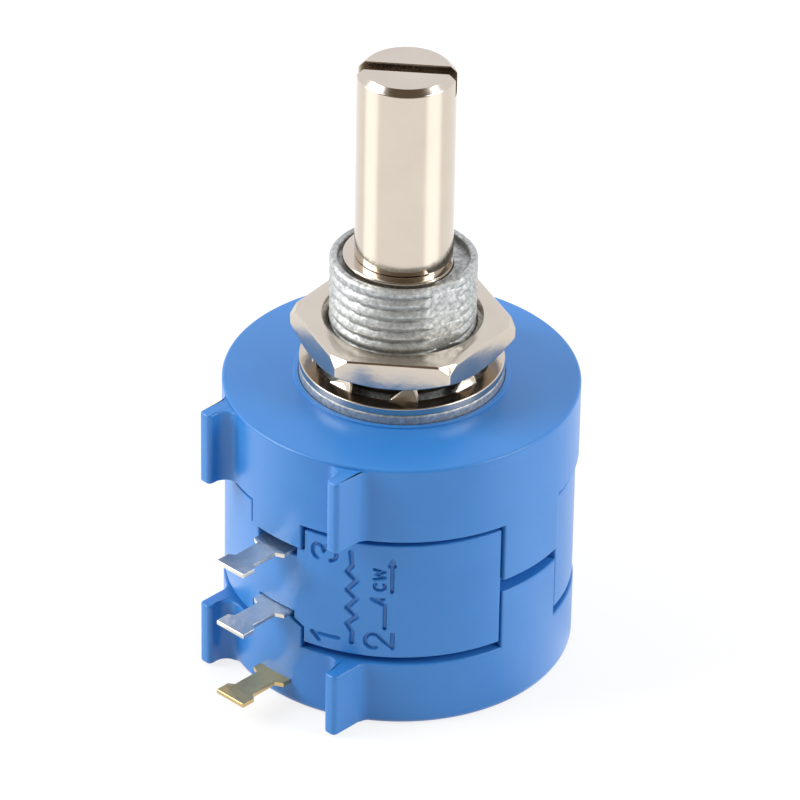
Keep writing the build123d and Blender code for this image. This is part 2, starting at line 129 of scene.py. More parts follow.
def outward(bearing):
    """Unit vectors away from the shaft axis: x = sin(bearing), y = -cos(bearing)."""
    angle = np.radians(bearing)
    return np.stack([np.sin(angle), -np.cos(angle)], axis=-1)


def turned(profile, bearings):
    """A profile carried round the shaft axis: x = r sin(bearing), y = -r cos(bearing), z kept. The
    profile is (points, 2) of radius and height, or one such list for each bearing."""
    profile = np.broadcast_to(profile, (len(bearings),) + np.shape(profile)[-2:])
    angle = np.radians(bearings)[:, None]
    radius, height = profile[..., 0], profile[..., 1]
    return np.stack([radius * np.sin(angle), -radius * np.cos(angle), height], axis=-1)


def lines(start, end, step, marks=(), near=NEAR_EDGE):
    """Even values from start to end, with the close lines of a rounded edge beside each mark."""
    even = np.linspace(start, end, max(2, int(round((end - start) / step)) + 1))
    marks = np.asarray(marks, dtype=float)
    if len(marks):
        clear = np.abs(even[:, None] - marks).min(axis=1) > 1.3 * near.max()
        clear[[0, -1]] = True
        close = np.concatenate([marks[:, None] - near, marks[:, None] + near], axis=1).ravel()
        even = np.concatenate([even[clear], close])
    even = even[(even >= start - 1e-9) & (even <= end + 1e-9)]
    return np.unique(np.round(even, 5))


def swung(x, y, angle):
    """Points swung counter-clockwise about the shaft axis by an angle in degrees."""
    turn = math.radians(angle)
    return x * math.cos(turn) - y * math.sin(turn), x * math.sin(turn) + y * math.cos(turn)


def ease(distance, radius=EDGE):
    """How far a rounded edge falls back at a distance from it: a quarter circle of the radius."""
    inside = np.clip(radius - distance, 0, radius)
    return radius - np.sqrt(radius**2 - inside**2)


def gap_distance(bearing, height, gaps, radius):
    """Distance on the surface from a point to the nearest gap, where each gap is a rectangle of
    bearings and heights: the length of the two overshoots taken together."""
    bearing, height = bearing[..., None], height[..., None]
    low_b, high_b, low_z, high_z = np.asarray(gaps, dtype=float).T
    across = np.radians(np.clip(np.maximum(low_b - bearing, bearing - high_b), 0, None)) * radius
    along = np.clip(np.maximum(low_z - height, height - high_z), 0, None)
    return np.hypot(across, along).min(axis=-1)


def solid_cells(bearing, height, gaps):
    """Cells of a grid whose middle lies in none of the gaps."""
    b = (bearing[1:, 1:] + bearing[:-1, :-1])[..., None] / 2
    z = (height[1:, 1:] + height[:-1, :-1] + height[1:, :-1] + height[:-1, 1:])[..., None] / 4
    low_b, high_b, low_z, high_z = np.asarray(gaps, dtype=float).T
    return ~((b > low_b) & (b < high_b) & (z > low_z) & (z < high_z)).any(axis=-1)


def rim_walls(outer, inner, keep, wrapped=False):
    """Walls between an outer and an inner skin along each edge of the grid with a kept cell on just
    one side. In a wrapped grid the first and last rows are one place and the first column joins a
    cap, so no wall stands there."""
    padded = np.pad(keep, 1)
    if wrapped:
        padded[0], padded[-1] = padded[-2], padded[1]
        padded[:, 0] = padded[:, 1]
    columns = outer.shape[1]
    index = np.arange(outer.shape[0] * columns).reshape(outer.shape[:2])
    along_row = padded[:-1, 1:-1] != padded[1:, 1:-1]
    along_column = padded[1:-1, :-1] != padded[1:-1, 1:]
    first = np.concatenate([index[:, :-1][along_row], index[:-1, :][along_column]])
    second = np.concatenate([index[:, 1:][along_row], index[1:, :][along_column]])
    count = outer.shape[0] * columns
    faces = np.stack([first, second, second + count, first + count], axis=-1)
    points = np.concatenate([outer.reshape(-1, 3), inner.reshape(-1, 3)])
    return points, faces


def make_piece(name, sheets, body, node, finish):
    """Joins sheets of millimetre points into one mesh in metres: doubled points are merged, faces
    turned outwards, and only edges over 34 degrees stay hard. The piece stands for a CAD node."""
    starts = np.cumsum([0] + [len(points) for points, _ in sheets])
    points = np.concatenate([points for points, _ in sheets]) * 0.001
    faces = np.concatenate([faces + start for (_, faces), start in zip(sheets, starts)])
    mesh = bpy.data.meshes.new(name)
    mesh.vertices.add(len(points))
    mesh.vertices.foreach_set("co", points.astype(np.float32).ravel())
    mesh.loops.add(faces.size)
    mesh.loops.foreach_set("vertex_index", faces.astype(np.int32).ravel())
    mesh.polygons.add(len(faces))
    mesh.polygons.foreach_set("loop_start", np.arange(0, faces.size, 4, dtype=np.int32))
    mesh.update(calc_edges=True)
    mesh.validate()
    shape = bmesh.new()
    shape.from_mesh(mesh)
    bmesh.ops.remove_doubles(shape, verts=shape.verts, dist=1.5e-6)
    bmesh.ops.dissolve_degenerate(shape, dist=1e-7, edges=shape.edges)
    bmesh.ops.recalc_face_normals(shape, faces=shape.faces)
    shape.to_mesh(mesh)
    shape.free()
    mesh.polygons.foreach_set("use_smooth", np.ones(len(mesh.polygons), dtype=bool))
    mesh.set_sharp_from_angle(angle=math.radians(34))
    mesh.materials.append(finish)
    piece = bpy.data.objects.new(name, mesh)
    bpy.context.scene.collection.objects.link(piece)
    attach(piece, body)
    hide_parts(node)


# ---------------- finishes
def linear(code):
    """A colour written as sRGB hex, as the linear values a shader takes."""
    value = np.array([int(code[place : place + 2], 16) for place in (1, 3, 5)]) / 255
    value = np.where(value <= 0.04045, value / 12.92, ((value + 0.055) / 1.055) ** 2.4)
    return (*value, 1.0)


def add(tree, kind, settings=None, inputs=None):
    """Adds one node with its settings, and sets or links each input that is named."""
    node = tree.nodes.new(kind)
    for name, value in (settings or {}).items():
        setattr(node, name, value)
    for name, value in (inputs or {}).items():
        if isinstance(value, bpy.types.NodeSocket):
            tree.links.new(value, node.inputs[name])
        else:
            node.inputs[name].default_value = value
    return node


def new_finish(name):
    """An empty material, its node tree and the object coordinates in it."""
    finish = bpy.data.materials.new(name)
    finish.use_nodes = True
    finish.node_tree.nodes.clear()
    place = add(finish.node_tree, "ShaderNodeTexCoord").outputs["Object"]
    return finish, finish.node_tree, place


def coated(finish, colour, gloss, bump, plain):
    """Closes a finish: its colour, gloss and bump, with the shader's plain values."""
    tree = finish.node_tree
    shader = add(tree, "ShaderNodeBsdfPrincipled", None,
                 {"Base Color": colour.outputs[2], "Roughness": gloss.outputs[0],
                  "Normal": bump.outputs["Normal"], **plain})
    add(tree, "ShaderNodeOutputMaterial", None, {"Surface": shader.outputs[0]})
    return finish


def waves(size):
    """Scale of a noise pattern, in waves per metre, from the real size in millimetres."""
    return 1000.0 / size


def moulded_plastic(name, dark, light, roughness=0.3):
    """Plastic from a polished mould, which looks satin and nearly even: faint flow clouds 3.3 mm
    across, a filler grain of 0.15 mm and an orange peel of 0.42 mm."""
    finish, tree, place = new_finish(name)
    clouds = add(tree, "ShaderNodeTexNoise", None,
                 {"Vector": place, "Scale": waves(3.3333), "Detail": 3.0})
    grain = add(tree, "ShaderNodeTexNoise", None,
                {"Vector": place, "Scale": waves(0.15385), "Detail": 2.0})
    peel = add(tree, "ShaderNodeTexNoise", None,
               {"Vector": place, "Scale": waves(0.41667), "Detail": 2.0})
    share = add(tree, "ShaderNodeMath", {"operation": "MULTIPLY_ADD"},
                {0: grain.outputs["Fac"], 1: 0.35, 2: clouds.outputs["Fac"]})
    share = add(tree, "ShaderNodeMapRange", None,
                {"Value": share.outputs[0], "From Min": 0.1, "From Max": 1.25})
    colour = add(tree, "ShaderNodeMix", {"data_type": "RGBA"},
                 {0: share.outputs[0], 6: linear(dark), 7: linear(light)})
    gloss = add(tree, "ShaderNodeMapRange", None,
                {"Value": clouds.outputs["Fac"],
                 "To Min": roughness - 0.02, "To Max": roughness + 0.06})
    bump = add(tree, "ShaderNodeBump", None,
               {"Height": peel.outputs["Fac"], "Strength": 0.5, "Distance": 0.000008})
    return coated(finish, colour, gloss, bump, {"IOR": 1.5})


def plated_metal(name, dark, light, roughness=0.14, pitch=0.09, dents=0.0):
    """Turned, stamped or drawn metal, plated or bare: a soft mirror with faint tool marks that run
    round the part, pitch millimetres apart, and clouds of gloss 2.4 mm across. Plating from a bath
    or a barrel also has shallow dents of 0.5 mm, which break up what the metal mirrors."""
    finish, tree, place = new_finish(name)
    clouds = add(tree, "ShaderNodeTexNoise", None,
                 {"Vector": place, "Scale": waves(2.381), "Detail": 3.0})
    marks = add(tree, "ShaderNodeTexNoise", {"noise_dimensions": "1D"},
                {"Scale": waves(pitch), "Detail": 2.0})
    split = add(tree, "ShaderNodeSeparateXYZ", None, {0: place})
    tree.links.new(split.outputs["Z"], marks.inputs["W"])
    colour = add(tree, "ShaderNodeMix", {"data_type": "RGBA"},
                 {0: clouds.outputs["Fac"], 6: linear(dark), 7: linear(light)})
    gloss = add(tree, "ShaderNodeMapRange", None,
                {"Value": clouds.outputs["Fac"], "From Min": 0.3, "From Max": 0.7,
                 "To Min": roughness - 0.04, "To Max": roughness + 0.05})
    bump = add(tree, "ShaderNodeBump", None,
               {"Height": marks.outputs["Fac"], "Strength": 0.6, "Distance": 0.0000012})
    ripple = add(tree, "ShaderNodeTexNoise", None,
                 {"Vector": place, "Scale": waves(0.5), "Detail": 3.0})
    bump = add(tree, "ShaderNodeBump", None,
               {"Height": ripple.outputs["Fac"], "Strength": dents, "Distance": 0.00008,
                "Normal": bump.outputs["Normal"]})
    return coated(finish, colour, gloss, bump, {"Metallic": 1.0})


def die_cast_zinc():
    """Tumbled zinc casting: grey satin metal with bright rubbed grains of 0.3 mm and pits of 0.15
    mm. A dark brown painted shade covers the recess that the washer and nut cover, 0.2 to 1.9 mm
    over the seat."""
    finish, tree, place = new_finish("tumbled die-cast zinc")
    mottle = add(tree, "ShaderNodeTexNoise", None,
                 {"Vector": place, "Scale": waves(0.3125), "Detail": 6.0, "Roughness": 0.6})
    pits = add(tree, "ShaderNodeTexNoise", None,
               {"Vector": place, "Scale": waves(0.15385), "Detail": 3.0})
    share = add(tree, "ShaderNodeMapRange", None,
                {"Value": mottle.outputs["Fac"], "From Min": 0.35, "From Max": 0.68})
    colour = add(tree, "ShaderNodeMix", {"data_type": "RGBA"},
                 {0: share.outputs[0], 6: linear("#A4A7A7"), 7: linear("#D4D6D4")})
    height = add(tree, "ShaderNodeSeparateXYZ", None, {0: place})
    # Painted shade: from 0.2 to 1.9 mm over the seat, under the washer and nut, the colour turns
    # dark brown.
    recess = add(tree, "ShaderNodeMapRange", {"interpolation_type": "SMOOTHSTEP"},
                 {"Value": height.outputs["Z"], "From Min": 0.0002, "From Max": 0.0005})
    mouth = add(tree, "ShaderNodeMapRange", {"interpolation_type": "SMOOTHSTEP"},
                {"Value": height.outputs["Z"], "From Min": 0.0019, "From Max": 0.0015})
    recess_shade = add(tree, "ShaderNodeMath", {"operation": "MULTIPLY"},
                 {0: recess.outputs[0], 1: mouth.outputs[0]})
    colour = add(tree, "ShaderNodeMix", {"data_type": "RGBA"},
                 {0: recess_shade.outputs[0], 6: colour.outputs[2], 7: linear("#4A4038")})
    gloss = add(tree, "ShaderNodeMapRange", None,
                {"Value": mottle.outputs["Fac"], "From Min": 0.35, "From Max": 0.65,
                 "To Min": 0.66, "To Max": 0.46})
    bump = add(tree, "ShaderNodeBump", None,
               {"Height": pits.outputs["Fac"], "Strength": 1.0, "Distance": 0.00002})
    bump = add(tree, "ShaderNodeBump", None,
               {"Height": mottle.outputs["Fac"], "Strength": 0.6, "Distance": 0.00004,
                "Normal": bump.outputs["Normal"]})
    return coated(finish, colour, gloss, bump, {"Metallic": 1.0})


# Housing: glass-filled polyester, moulded, an even satin blue
blue = moulded_plastic("moulded blue polyester", "#2D78C4", "#3983CD")
# Shaft and spring ring: nickel over turned brass, a warm soft mirror with fine marks round it
nickel = plated_metal("bright nickel plate on brass", "#CABFB2", "#D5CBBD")
# Nut and washer: nickel plated in a barrel, where they knock together, so the mirror is duller
tumbled = plated_metal("barrel nickel plate on steel", "#CABFB2", "#D5CBBD",
                       roughness=0.19, pitch=0.2, dents=0.1)
# Upper two lugs: stamped brass with tin from a bath, pale and mottled
tin = plated_metal("bright tin plate on brass", "#CCC9C2", "#E2DFD9",
                   roughness=0.33, pitch=0.16, dents=0.6)
# Lowest lug: the same with so little tin that the brass shows through, a pale gold
gilt = plated_metal("brass under thin tin plate", "#BFA06A", "#D9C28F",
                    roughness=0.33, pitch=0.16, dents=0.45)
# Bushing: cast and tumbled, grey with worn bright grains
zinc = die_cast_zinc()
# Drum and carriage: moulded nylon, off-white and duller than the housing
inner_plastic = moulded_plastic("moulded off-white nylon", "#C9C4B4", "#D8D3C4", 0.4)
# Taps, brush, thrust washer, rod, slip ring and contact: bare turned brass, yellow and satin
brass = plated_metal("turned brass", "#B5893E", "#CFA75C", roughness=0.22)
# Element: drawn resistance wire wound close on its core, grey and dull with fine ridges
wire = plated_metal("resistance wire on its core", "#8C8A83", "#A9A69C",
                    roughness=0.35, pitch=0.06)


# ---------------- housing
# Legs: their side faces and tip, and the radii at root and tip
LEG_INNER_X, LEG_OUTER_X, LEG_TIP_Y = 4.925, 5.875, -11.62
LEG_ROOT, LEG_TIP = 0.85, 0.32
# Bearings of the pillars' edges, and the heights where each cover's pillars end
SIDE_PILLAR = (79.35, 105.5)
BACK_PILLAR = 168.75
TERMINAL_PILLAR = 10.8
FRONT_PILLARS_Z, FRONT_TERMINAL_Z = -10.0, -7.75
REAR_PILLARS_Z, REAR_TERMINAL_Z = -10.9, -12.9
# The rear pillar between the lugs: half its width, and the run and slope of its cut corners
PILLAR_HALF = 2.039
CORNER_RUN = 1.13
SLOPE = 0.575
# Height of the panel's edge beside it, and the bearings at which the panel clears lugs 1 and 3
SEAM_LINE = -13.2
PLATE_1_ROOM, PLATE_3_ROOM = 7.7, 8.7
# Radius of the raised panels' hidden inner patch, and the depth at which the rim walls divide
PANEL_BACK = 9.6
SKIN = 0.3


def leg_path(radius):
    """Outline of the +X leg from the body's circle out round its tip and back: four arcs, each a
    centre plus or minus the arc's radius times the outward normal. Gives points and normals."""
    root_1, root_2 = [np.array([x, -math.sqrt((radius + LEG_ROOT) ** 2 - x**2)])
                      for x in (LEG_INNER_X - LEG_ROOT, LEG_OUTER_X + LEG_ROOT)]
    tip_1, tip_2 = [np.array([x, LEG_TIP_Y + LEG_TIP])
                    for x in (LEG_INNER_X + LEG_TIP, LEG_OUTER_X - LEG_TIP)]
    toward_1 = math.atan2(root_1[1], root_1[0]) + 2 * math.pi
    toward_2 = math.atan2(root_2[1], root_2[0])
    arcs = (
        (root_1, -LEG_ROOT, toward_1, math.pi, 16),
        (tip_1, LEG_TIP, math.pi, 1.5 * math.pi, 8),
        (tip_2, LEG_TIP, 1.5 * math.pi, 2 * math.pi, 8),
        (root_2, -LEG_ROOT, 0.0, toward_2, 12),
    )
    points, normals = [], []
    for centre, size, start, end, count in arcs:
        angle = np.linspace(start, end, count)
        normal = np.stack([np.cos(angle), np.sin(angle)], axis=-1)
        points.append(centre + size * normal)
        normals.append(normal)
    return np.concatenate(points), np.concatenate(normals)


def cover_columns(radius):
    """Columns of a cover round its whole edge: bearing, outline point and outward normal. They lie
    on the circle except where the two legs' outlines replace it."""
    near = np.degrees(NEAR_EDGE / radius)
    marks = [TERMINAL_PILLAR, *SIDE_PILLAR, BACK_PILLAR]
    bearing = lines(0.0, 180.0, COLUMN_STEP, marks, near)
    leg, leg_normal = leg_path(radius)
    ends = np.degrees(np.arctan2(leg[[0, -1], 0], -leg[[0, -1], 1]))
    bearing = bearing[(bearing < ends[0] - 0.2) | (bearing > ends[1] + 0.2)]
    run = np.concatenate([[0], np.cumsum(np.linalg.norm(np.diff(leg, axis=0), axis=1))])
    leg_bearing = np.maximum.accumulate(np.degrees(np.arcsin(leg[:, 0] / radius)))
    leg_bearing = 0.95 * leg_bearing + 0.05 * (ends[0] + (ends[1] - ends[0]) * run / run[-1])
    circle = outward(bearing)
    bearing = np.concatenate([bearing, leg_bearing])
    order = np.argsort(bearing, kind="stable")
    bearing = bearing[order]
    points = np.concatenate([radius * circle, leg])[order]
    normals = np.concatenate([circle, leg_normal])[order]
    mirror = np.array([-1.0, 1.0])
    other = slice(-2, 0, -1)
    return (
        np.concatenate([bearing, 360 - bearing[other], [360.0]]),
        np.concatenate([points, points[other] * mirror, points[:1]]),
        np.concatenate([normals, normals[other] * mirror, normals[:1]]),
    )


def cover(radius, cap, inner_cap, heights, gaps, leg_end, slide=None):
    """A moulded cover: a turned cap, then a skirt whose outer skin follows the outline with legs
    and whose inner skin is round. Edges at the gaps fall back by the rounded edge's quarter circle,
    and slide moves the grid's heights so that an edge can slope."""
    bearing, outline, normal = cover_columns(radius)
    circle = outward(bearing)
    b, z = np.meshgrid(bearing, heights, indexing="ij")
    fall = ease(gap_distance(b, z, gaps, radius))
    stand = np.clip(np.linalg.norm(outline - radius * circle, axis=-1) / 0.3, 0, 1)[:, None]
    for end in (leg_end, WINDOW_TOP, WINDOW_LOW):
        fall = np.maximum(fall, stand * ease(np.abs(z - end), 0.15))
    fall = np.maximum(fall, (1 - stand) * ease(z - REAR_Z, REAR_EDGE))
    keep = solid_cells(b, z, gaps)
    if slide is not None:
        z = slide(b, z)
    flat = outline[:, None] - normal[:, None] * fall[..., None]
    outer = np.concatenate([flat, z[..., None]], axis=-1)
    limits = (None, inner_cap[-1, 1]) if leg_end > WINDOW_TOP else (inner_cap[-1, 1], None)
    inner_z = np.clip(z, *limits)
    middle, inner = [
        np.concatenate([np.broadcast_to(size * circle[:, None], flat.shape), level[..., None]], -1)
        for size, level in ((radius - SKIN, z), (SKIRT_BORE, inner_z))
    ]
    cap_grid = turned(cap, bearing)
    step = np.stack([cap_grid[:, -1], outer[:, 0]], axis=1)
    return [
        sheet(cap_grid),
        sheet(step),
        sheet(turned(inner_cap, bearing)),
        sheet(outer, keep=keep),
        sheet(inner, keep=keep),
        rim_walls(outer, middle, keep, wrapped=True),
        rim_walls(middle, inner, keep, wrapped=True),
    ]


def rim_arc(radius, face, edge, depth, side):
    """Rounded edge from a face to the depth below it where the skirt begins: part of a quarter
    circle of the edge's radius. side is -1 under the front face and 1 over the rear face."""
    turn = np.linspace(0, math.acos(1 - depth / edge), 9)
    across, along = radius - edge * (1 - np.sin(turn)), face + side * edge * (1 - np.cos(turn))
    return np.stack([across, along], axis=-1)


def below(limits):
    """Gaps under a front cover: each limit is a range of bearings and the height where it ends."""
    return [(start, end, -FAR, height) for start, end, height in limits]


def above(limits):
    """Gaps over a rear cover, given in the same way."""
    return [(start, end, height, FAR) for start, end, height in limits]


def pillar_limits(window, terminal, side):
    """The edge of a cover all the way round: windows, terminal pillar, side and back pillars."""
    half = [
        (0.0, TERMINAL_PILLAR, terminal),
        (TERMINAL_PILLAR, SIDE_PILLAR[0], window),
        (*SIDE_PILLAR, side),
        (SIDE_PILLAR[1], BACK_PILLAR, window),
        (BACK_PILLAR, 180.0, side),
    ]
    return half + [(360 - end, 360 - start, height) for start, end, height in half]


def front_cover():
    """Lid with its seat collar, skirt, upper legs and hanging pillars. Outside the collar the lid
    falls in a straight cone to its rim."""
    cap = soften(
        [(5.3, CEILING_Z), (5.3, FRONT_Z), (6.35, FRONT_Z), (6.35, FRONT_Z + 0.12),
         (6.65, FRONT_Z + 0.12), (6.65, FRONT_Z), (7.2, FRONT_Z)],
        [0, 0.05, 0.03, 0.04, 0.04, 0.03, 0], steps=7)
    cap = np.concatenate([cap, rim_arc(BODY_R, FRONT_Z - LID_FALL, LID_EDGE, LID_EDGE, -1)])
    inner_cap = np.array([(5.3, CEILING_Z), (SKIRT_BORE, CEILING_Z)])
    top = FRONT_Z - LID_FALL - LID_EDGE
    edges = [WINDOW_TOP, FRONT_TERMINAL_Z, FRONT_PILLARS_Z, top]
    heights = lines(FRONT_PILLARS_Z, top, ROW_STEP, edges)[::-1]
    gaps = below(pillar_limits(WINDOW_TOP, FRONT_TERMINAL_Z, FRONT_PILLARS_Z))
    return cover(BODY_R, cap, inner_cap, heights, gaps, top)


def rear_cover():
    """Cup with its floor, skirt, lower legs, rear bearing and standing pillars. Its rounded rear
    edge passes from the cap to the skirt's columns at the level low."""
    low = REAR_Z + 0.17
    cap = np.concatenate([[(0, REAR_Z), (REAR_R - 1.3 * REAR_EDGE, REAR_Z)],
                          rim_arc(REAR_R, REAR_Z, REAR_EDGE, low - REAR_Z, 1)])
    inner_cap = np.array([(0, -18.45), (2.04, -18.45), (2.04, -16.9), (3.2, -16.9), (3.2, FLOOR_Z),
                          (SKIRT_BORE, FLOOR_Z)])
    edges = [WINDOW_LOW, REAR_TERMINAL_Z, REAR_PILLARS_Z, low, REAR_Z + 0.47]
    heights = lines(low, REAR_PILLARS_Z, ROW_STEP, edges)
    gaps = above(pillar_limits(WINDOW_LOW, REAR_TERMINAL_Z, REAR_PILLARS_Z))
    return cover(REAR_R, cap, inner_cap, heights, gaps, low, sloped_corners)


def sloped_corners(bearing, height):
    """The standing pillar's corners: heights over the window are scaled so that the pillar's top
    falls by SLOPE for each millimetre past the point where the corner starts."""
    side = REAR_R * np.sin(np.radians(np.abs(bearing)))
    drop = SLOPE * np.clip(side - (PILLAR_HALF - CORNER_RUN), 0, None)
    share = np.clip((height - WINDOW_LOW) / (REAR_TERMINAL_Z - WINDOW_LOW), 0, None)
    return np.where(np.abs(bearing) < TERMINAL_PILLAR + 0.01, height - share * drop, height)


def sloped_seam(bearing, height):
    """The panel's edge over those corners: the grid slides down there by the seam's height over the
    slope, less and less with the distance from the edge's own height."""
    side = PANEL_R * np.sin(np.radians(np.abs(bearing)))
    seam = -12.78 - SLOPE * (side - 0.941)
    near = np.interp(height, [-14.2, SEAM_LINE, -12.75], [0.0, 1.0, 0.0])
    reach = np.interp(np.abs(bearing), [PLATE_1_ROOM, 11.6, 15.0], [1.0, 1.0, 0.0])
    slide = np.where(np.abs(bearing) < PLATE_1_ROOM - 0.5, 0, seam - SEAM_LINE)
    return height + near * reach * slide


def raised_panel(start, end, low, high, notches=(), joined=(), fine=None, marks=None):
    """A raised panel of the coil housing: a patch of the cylinder with rounded edges, joined by
    walls to a patch below the tube's own surface. joined names the sides that run on into another
    piece, fine gives the close grid under the marks, and marks how deep they are at each point."""
    frame_gaps = [(-FAR, FAR, -FAR, low), (-FAR, FAR, high, FAR)]
    if "start" not in joined:
        frame_gaps.append((-FAR, start, -FAR, FAR))
    if "end" not in joined:
        frame_gaps.append((end, FAR, -FAR, FAR))
    gaps = frame_gaps + list(notches)
    near = np.degrees(NEAR_EDGE / PANEL_R)
    b_marks = [start, end] + [v for gap in notches for v in gap[:2] if start < v < end]
    z_marks = [low, high] + [v for gap in notches for v in gap[2:] if low < v < high]
    bearing = lines(start, end, COLUMN_STEP, b_marks, near)
    height = lines(low, high, ROW_STEP, z_marks)
    if fine is not None:
        bearing = np.union1d(bearing, np.arange(*fine[0]))
        height = np.union1d(height, np.arange(*fine[1]))
    b, z = np.meshgrid(bearing, height, indexing="ij")
    radius = PANEL_R - ease(gap_distance(b, z, gaps, PANEL_R))
    keep = solid_cells(b, z, gaps)
    if notches:
        z = sloped_seam(b, z)
    if marks is not None:
        radius = radius - marks(b, z)
    outer, inner = [
        np.concatenate([size * outward(b), z[..., None]], axis=-1)
        for size in (radius[..., None], PANEL_BACK)
    ]
    return [sheet(outer, keep=keep), sheet(inner, keep=keep), rim_walls(outer, inner, keep)]


def bow(centre, width, height, start, end):
    """Part of an ellipse as a polyline: its centre plus half axes times the cosine and sine."""
    angle = np.radians(np.linspace(start, end, 19))
    x, y = centre[0] + width * np.cos(angle), centre[1] + height * np.sin(angle)
    return np.stack([x, y], axis=-1)


# Marks moulded into the panel, as strokes in millimetres: the first value runs up the panel and
# the second to the left, from each mark's own corner. They read from the rear to the front.
THREE = [np.concatenate([bow((0.52, 1.22), 0.5, 0.38, 175, -80),
                         bow((0.55, 0.42), 0.52, 0.42, 80, -175)])]
TWO = [np.concatenate([bow((0.52, 1.18), 0.5, 0.5, 200, -25), [[0.04, 0.0], [1.08, 0.0]]])]
ONE = [[(0.0, 1.31), (0.45, 1.8), (0.45, 0.0)]]
LETTER_C = [bow((0.29, 0.33), 0.27, 0.33, 50, 310)]
LETTER_W = [[(0.0, 0.66), (0.16, 0.0), (0.36, 0.52), (0.56, 0.0), (0.72, 0.66)]]
TURN_ARROW = [[(0.0, 0.0), (2.2, 0.0)], [(1.85, 0.15), (2.24, 0.0), (1.85, -0.15)]]
WIPER_ARROW = [[(0.0, 0.0), (1.7, 0.0), (2.08, 0.78)], [(1.9, 0.3), (2.1, 0.8), (2.12, 0.1)]]
RESISTOR = [[(6.65, 0.1), (5.65, 0.0), (5.2, 0.33), (4.6, -0.31), (3.87, 0.32), (3.3, -0.31),
             (2.56, 0.32), (2.0, -0.34), (1.4, 0.3), (0.84, -0.05), (0.07, 0.0)]]

# Each mark with the bearing and height of its corner and half its stroke's width
MARKS = (
    (THREE, 23.3, -8.1, 0.12),
    (RESISTOR, 28.6, -13.8, 0.15),
    (ONE, 24.3, -14.02, 0.12),
    (TWO, 42.0, -13.92, 0.12),
    (WIPER_ARROW, 39.4, -12.45, 0.11),
    (LETTER_C, 39.4, -9.7, 0.085),
    (LETTER_W, 39.3, -8.9, 0.085),
    (TURN_ARROW, 41.6, -9.75, 0.11),
)
MARK_DEPTH = 0.22


def mark_depth(bearing, height):
    """Depth of the moulded marks: MARK_DEPTH within a stroke's half width of its line, rising in a
    smooth step over 0.07 mm. The distance is the least one to any straight piece of any stroke."""
    flat = np.stack([height.ravel(), -np.radians(bearing.ravel()) * PANEL_R], axis=-1)
    depth = np.zeros(len(flat))
    for strokes, corner_bearing, corner_height, half in MARKS:
        corner = np.array([corner_height, -math.radians(corner_bearing) * PANEL_R])
        for stroke in strokes:
            line = np.asarray(stroke) + corner
            close = np.all((flat > line.min(0) - 0.4) & (flat < line.max(0) + 0.4), axis=1)
            start, step = line[:-1], np.diff(line, axis=0)
            away = flat[close][:, None] - start
            share = np.clip((away * step).sum(-1) / (step**2).sum(-1), 0, 1)
            distance = np.linalg.norm(away - share[..., None] * step, axis=-1).min(axis=1)
            rise = np.clip((half + 0.035 - distance) / 0.07, 0, 1)
            depth[close] = np.maximum(depth[close], MARK_DEPTH * (3 * rise**2 - 2 * rise**3))
    return depth.reshape(bearing.shape)


# Edges of the raised panels, the bearing that divides the wide one, and what is cut out of it
# for the front pillar, the lugs and the rear pillar
WINDOW_EDGES = (11.595, 78.75)
BACK_WINDOW = (106.3, 167.95)
PANEL_SPAN = (WINDOW_LOW + 0.45, WINDOW_TOP - 0.36)
MARKED_FROM = 13.0
NOTCHES = [
    (-12.5, WINDOW_EDGES[0], -7.87, FAR),
    (-PLATE_3_ROOM, PLATE_3_ROOM, -8.5, FAR),
    (-PLATE_1_ROOM, PLATE_1_ROOM, -FAR, TERMINAL_1_Z),
    (-WINDOW_EDGES[0], WINDOW_EDGES[0], -FAR, SEAM_LINE),
]


def coil_housing():
    """Tube that holds the element, with raised panels in the back windows and one wide panel on the
    terminal side, which runs on behind the terminals."""
    wall = [(9.0, FLOOR_Z), (9.85, FLOOR_Z), (9.85, CEILING_Z), (9.0, CEILING_Z)]
    tube = soften(wall, 0.05, closed=True)
    sheets = [sheet(turned(tube, np.linspace(0, 360, 181)), wrap_columns=True)]
    sheets += raised_panel(*BACK_WINDOW, *PANEL_SPAN)
    sheets += raised_panel(-BACK_WINDOW[1], -BACK_WINDOW[0], *PANEL_SPAN)
    wide = raised_panel(-WINDOW_EDGES[1], MARKED_FROM, *PANEL_SPAN, NOTCHES, joined=["end"])
    return sheets + wide


def marked_panel():
    """The rest of that wide panel, with the moulded marks."""
    fine = (13.2, 43.2, 0.22), (-14.2, -6.7, 0.042)
    return raised_panel(
        MARKED_FROM, WINDOW_EDGES[1], *PANEL_SPAN, NOTCHES, ["start"], fine, mark_depth)


for name, sheets, node in (
    ("front_cover_shell", front_cover(), "front_cover"),
    ("rear_cover_shell", rear_cover(), "rear_cover"),
    ("coil_housing_panels", coil_housing(), "coil_housing"),
    ("marked_panel", marked_panel(), "coil_housing"),
):
    make_piece(name, sheets, "root", node, blue)


# ---------------- terminals
# Half width of a lug at its distances outwards, from the root over the neck to the head's end
LUG_TIP = 14.75
LUG_PLACES = (11.4, 11.65, 13.55, 13.8, LUG_TIP)
LUG_HALVES = (1.3, 0.775, 0.775, 1.15, 1.15)


